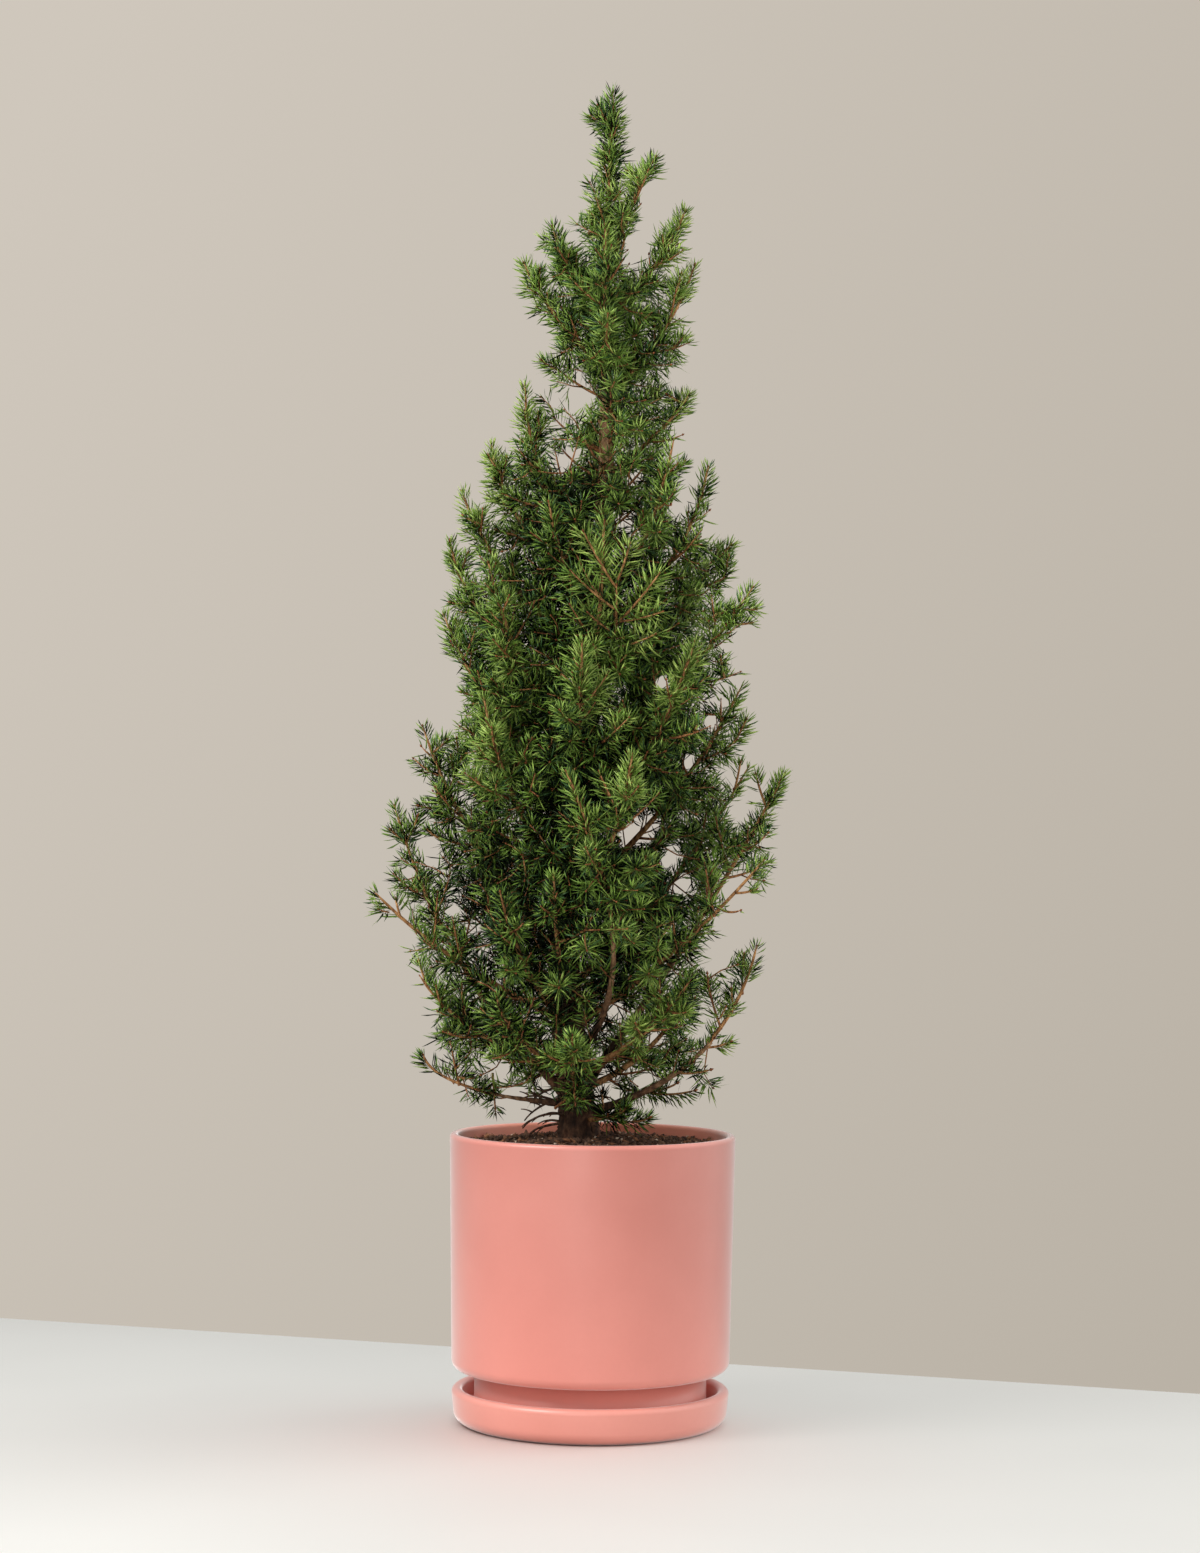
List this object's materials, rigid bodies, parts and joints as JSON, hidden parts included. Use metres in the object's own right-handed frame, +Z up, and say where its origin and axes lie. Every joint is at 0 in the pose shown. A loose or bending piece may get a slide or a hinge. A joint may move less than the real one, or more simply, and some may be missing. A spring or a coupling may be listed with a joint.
{
  "type": "potted dwarf conifer",
  "caption": "Slender dwarf alberta spruce, irregularly conical, in a smooth coral ceramic cylinder pot that stands in a matching saucer.",
  "frame": {"origin": "centre of the saucer's flat underside, which rests on the floor", "axes": "+Z up along the pot's axis, -Y towards the viewer of the picture, +X to the viewer's right"},
  "size_m": [0.242, 0.2103, 0.768],
  "materials": {
    "pot_glaze": "satin",
    "saucer_glaze": "satin",
    "soil": "rough",
    "bark": "rough",
    "bough_bark": "rough",
    "needles": "satin"
  },
  "bodies": {
    "root": {"saucer": "saucer_glaze", "pot": "pot_glaze", "soil": "soil", "trunk": "bark", "low_front_foliage": "needles", "low_left_bough": "bough_bark", "low_left_foliage": "needles", "low_right_bough": "bough_bark", "low_right_foliage": "needles", "front_low_foliage": "needles", "front_left_low_foliage": "needles", "left_low_foliage": "needles", "back_left_low_foliage": "needles", "back_right_low_foliage": "needles", "front_right_low_foliage": "needles", "left_limb_bough": "bough_bark", "left_limb_foliage": "needles", "right_limb_bough": "bough_bark", "right_limb_foliage": "needles", "front_limb_bough": "bough_bark", "front_limb_foliage": "needles", "left_reach_foliage": "needles", "front_left_foliage": "needles", "back_left_foliage": "needles", "back_right_foliage": "needles", "right_side_foliage": "needles", "left_mid_foliage": "needles", "right_mid_foliage": "needles", "right_mid_back_foliage": "needles", "front_mid_right_foliage": "needles", "front_centre_foliage": "needles", "front_left_mid_foliage": "needles", "back_mid_foliage": "needles", "left_upper_foliage": "needles", "right_upper_foliage": "needles", "front_upper_foliage": "needles", "front_right_upper_foliage": "needles", "front_left_upper_foliage": "needles", "back_upper_left_foliage": "needles", "back_upper_right_foliage": "needles", "left_between_foliage": "needles", "left_high_foliage": "needles", "right_high_foliage": "needles", "right_spire_foliage": "needles", "front_fan_foliage": "needles", "front_right_high_foliage": "needles", "front_left_high_foliage": "needles", "back_high_foliage": "needles", "left_spire_foliage": "needles", "left_candle_foliage": "needles", "right_top_foliage": "needles", "back_top_foliage": "needles", "right_arm_foliage": "needles", "left_arm_foliage": "needles", "left_arm_high_foliage": "needles", "right_arm_high_foliage": "needles", "front_arm_foliage": "needles", "back_arm_foliage": "needles", "right_tip_foliage": "needles", "leader_foliage": "needles"}
  },
  "joints": []
}
